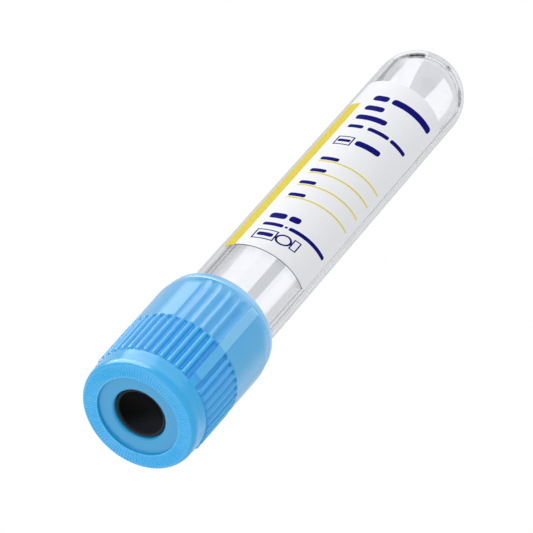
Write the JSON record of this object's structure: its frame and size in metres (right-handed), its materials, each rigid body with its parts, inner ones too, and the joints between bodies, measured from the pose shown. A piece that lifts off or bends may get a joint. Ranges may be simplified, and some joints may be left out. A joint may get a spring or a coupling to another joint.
{
  "type": "blood collection tube",
  "caption": "Clear double-walled sample tube with a round bottom, a white label and a pull-off blue closure over a dark rubber stopper.",
  "frame": {"origin": "centre of the closure's face, on which the tube stands", "axes": "+Z along the tube's axis from the closure to the round end, -Y towards the middle of the label"},
  "size_m": [0.017, 0.017, 0.084],
  "materials": {
    "shield": "moulded, slightly translucent light blue",
    "stopper": "dark moulded rubber",
    "outer_tube": "clear moulded plastic",
    "inner_tube": "clear moulded plastic",
    "label": "smooth white film with coloured fields"
  },
  "bodies": {
    "closure": {"shield": "shield", "stopper": "stopper"},
    "tube": {"outer_tube": "outer_tube", "inner_tube": "inner_tube", "label": "label"}
  },
  "joints": [
    {"name": "closure_pull", "type": "slide", "parent": "closure", "child": "tube", "axis": [0, 0, 1], "range_m": [0, 0.025]}
  ]
}
